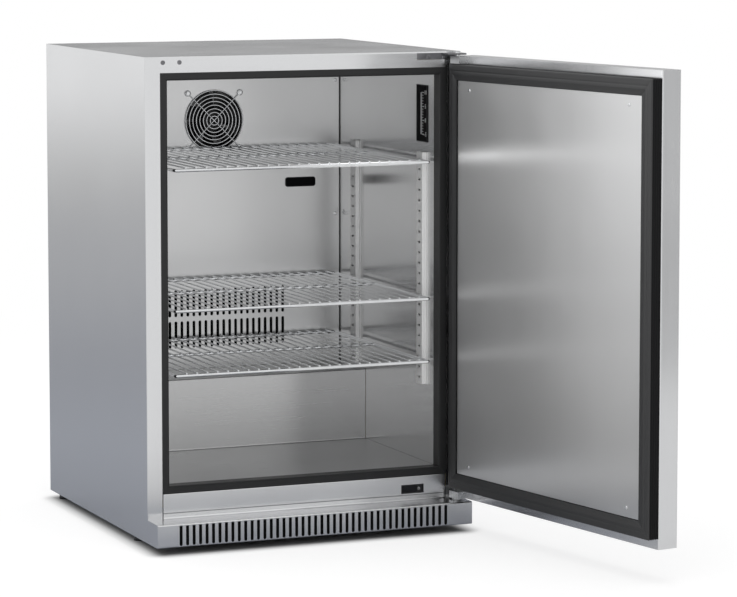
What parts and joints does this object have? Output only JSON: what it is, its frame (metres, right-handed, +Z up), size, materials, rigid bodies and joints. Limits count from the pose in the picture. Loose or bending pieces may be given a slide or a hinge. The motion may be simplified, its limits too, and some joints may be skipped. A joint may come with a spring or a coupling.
{
  "type": "undercounter refrigerator",
  "caption": "Undercounter refrigerator in brushed stainless steel with a right-hung door, wire shelves, fan-cooled storage space and slotted plinth.",
  "frame": {"origin": "on the floor under the middle of the case's width and depth", "axes": "+Z up; -Y towards the front, where the door is; +X to the right of someone who faces the front"},
  "size_m": [0.7339, 1.1806, 0.866],
  "materials": {
    "brushed_case": "vertically brushed stainless steel, satin",
    "liner_steel": "fine brushed stainless steel, soft mirror",
    "zinc_sheet": "galvanised sheet, dull spangle",
    "chrome_wire": "bright plated wire",
    "bright_zinc": "bright zinc plate",
    "dark_zinc": "dark zinc plate, satin",
    "pilaster_steel": "bright steel strip",
    "black_gasket": "soft black rubber, low sheen",
    "black_strip": "black extruded plastic",
    "black_plastic": "moulded black plastic",
    "dark_glass": "dark clear window",
    "white_plastic": "white moulded plastic",
    "foam": "rigid foam",
    "black_enamel": "black enamel on steel",
    "copper_tube": "drawn copper",
    "aluminium_fin": "mill finish"
  },
  "bodies": {
    "cabinet": {"side_panel_left": "brushed_case", "side_panel_right": "brushed_case", "top_panel": "brushed_case", "rear_panel": "zinc_sheet", "base_panel": "zinc_sheet", "underbody_panel": "zinc_sheet", "foam_insulation": "foam", "liner_left": "liner_steel", "liner_right": "liner_steel", "liner_ceiling_back": "liner_steel", "liner_floor": "liner_steel", "breaker_strips": "black_strip", "sill_panel": "brushed_case", "plinth_grille": "brushed_case", "evaporator_cover": "liner_steel", "fan_guard": "chrome_wire", "fan_frame": "black_plastic", "evaporator_fins": "aluminium_fin", "evaporator_tubes": "copper_tube", "drip_trough": "white_plastic", "machine_tray": "zinc_sheet", "compressor": "black_enamel", "compressor_grommets": "black_gasket", "terminal_cover": "black_plastic", "condenser_fins": "aluminium_fin", "condenser_tubes": "copper_tube", "condenser_shroud": "zinc_sheet", "condenser_motor": "dark_zinc", "refrigerant_pipes": "copper_tube", "condensate_pan": "white_plastic", "rear_cover": "zinc_sheet", "cable_gland": "black_plastic", "foot_bushes": "bright_zinc", "pilasters": "pilaster_steel", "shelf_clips": "bright_zinc", "hinge_top_bracket": "dark_zinc", "hinge_bottom_bracket": "dark_zinc", "hinge_pins": "bright_zinc", "case_screws": "bright_zinc", "panel_screws": "bright_zinc", "control_bezel": "black_plastic", "control_display": "dark_glass", "interior_plates": "black_plastic"},
    "door": {"door_outer": "brushed_case", "door_foam": "foam", "door_liner": "liner_steel", "door_gasket": "black_gasket", "door_bushes": "white_plastic", "door_pull": "black_plastic", "door_screws": "bright_zinc"},
    "fan_rotor": {"fan_rotor": "black_plastic"},
    "condenser_blade": {"condenser_blade": "aluminium_fin"},
    "control_key": {"control_key": "black_plastic"},
    "shelf_top": {"shelf_top": "chrome_wire"},
    "shelf_middle": {"shelf_middle": "chrome_wire"},
    "shelf_bottom": {"shelf_bottom": "chrome_wire"},
    "foot_front_left": {"foot_front_left": "black_plastic"},
    "foot_front_right": {"foot_front_right": "black_plastic"},
    "foot_rear_left": {"foot_rear_left": "black_plastic"},
    "foot_rear_right": {"foot_rear_right": "black_plastic"}
  },
  "joints": [
    {"name": "door_hinge", "type": "hinge", "parent": "cabinet", "child": "door", "pos_m": [0.287, -0.3017, 0.4], "axis": [0, 0, 1], "range_deg": [-100.1, 1.5]},
    {"name": "shelf_top_slide", "type": "slide", "parent": "cabinet", "child": "shelf_top", "axis": [0, -1, 0], "range_m": [0, 0.3]},
    {"name": "shelf_middle_slide", "type": "slide", "parent": "cabinet", "child": "shelf_middle", "axis": [0, -1, 0], "range_m": [0, 0.3]},
    {"name": "shelf_bottom_slide", "type": "slide", "parent": "cabinet", "child": "shelf_bottom", "axis": [0, -1, 0], "range_m": [0, 0.3]},
    {"name": "evaporator_fan_spin", "type": "hinge", "parent": "cabinet", "child": "fan_rotor", "pos_m": [0, 0.2, 0.7192], "axis": [0, 1, 0], "continuous": true},
    {"name": "condenser_fan_spin", "type": "hinge", "parent": "cabinet", "child": "condenser_blade", "pos_m": [0.02, 0.19325, 0.094], "axis": [1, 0, 0], "continuous": true},
    {"name": "control_key_press", "type": "slide", "parent": "cabinet", "child": "control_key", "axis": [0, 1, 0], "range_m": [0, 0.001], "stiffness_N_per_m": 600},
    {"name": "foot_front_left_screw", "type": "slide", "parent": "cabinet", "child": "foot_front_left", "axis": [0, 0, -1], "range_m": [0, 0.02]},
    {"name": "foot_front_right_screw", "type": "slide", "parent": "cabinet", "child": "foot_front_right", "axis": [0, 0, -1], "range_m": [0, 0.02]},
    {"name": "foot_rear_left_screw", "type": "slide", "parent": "cabinet", "child": "foot_rear_left", "axis": [0, 0, -1], "range_m": [0, 0.02]},
    {"name": "foot_rear_right_screw", "type": "slide", "parent": "cabinet", "child": "foot_rear_right", "axis": [0, 0, -1], "range_m": [0, 0.02]}
  ]
}
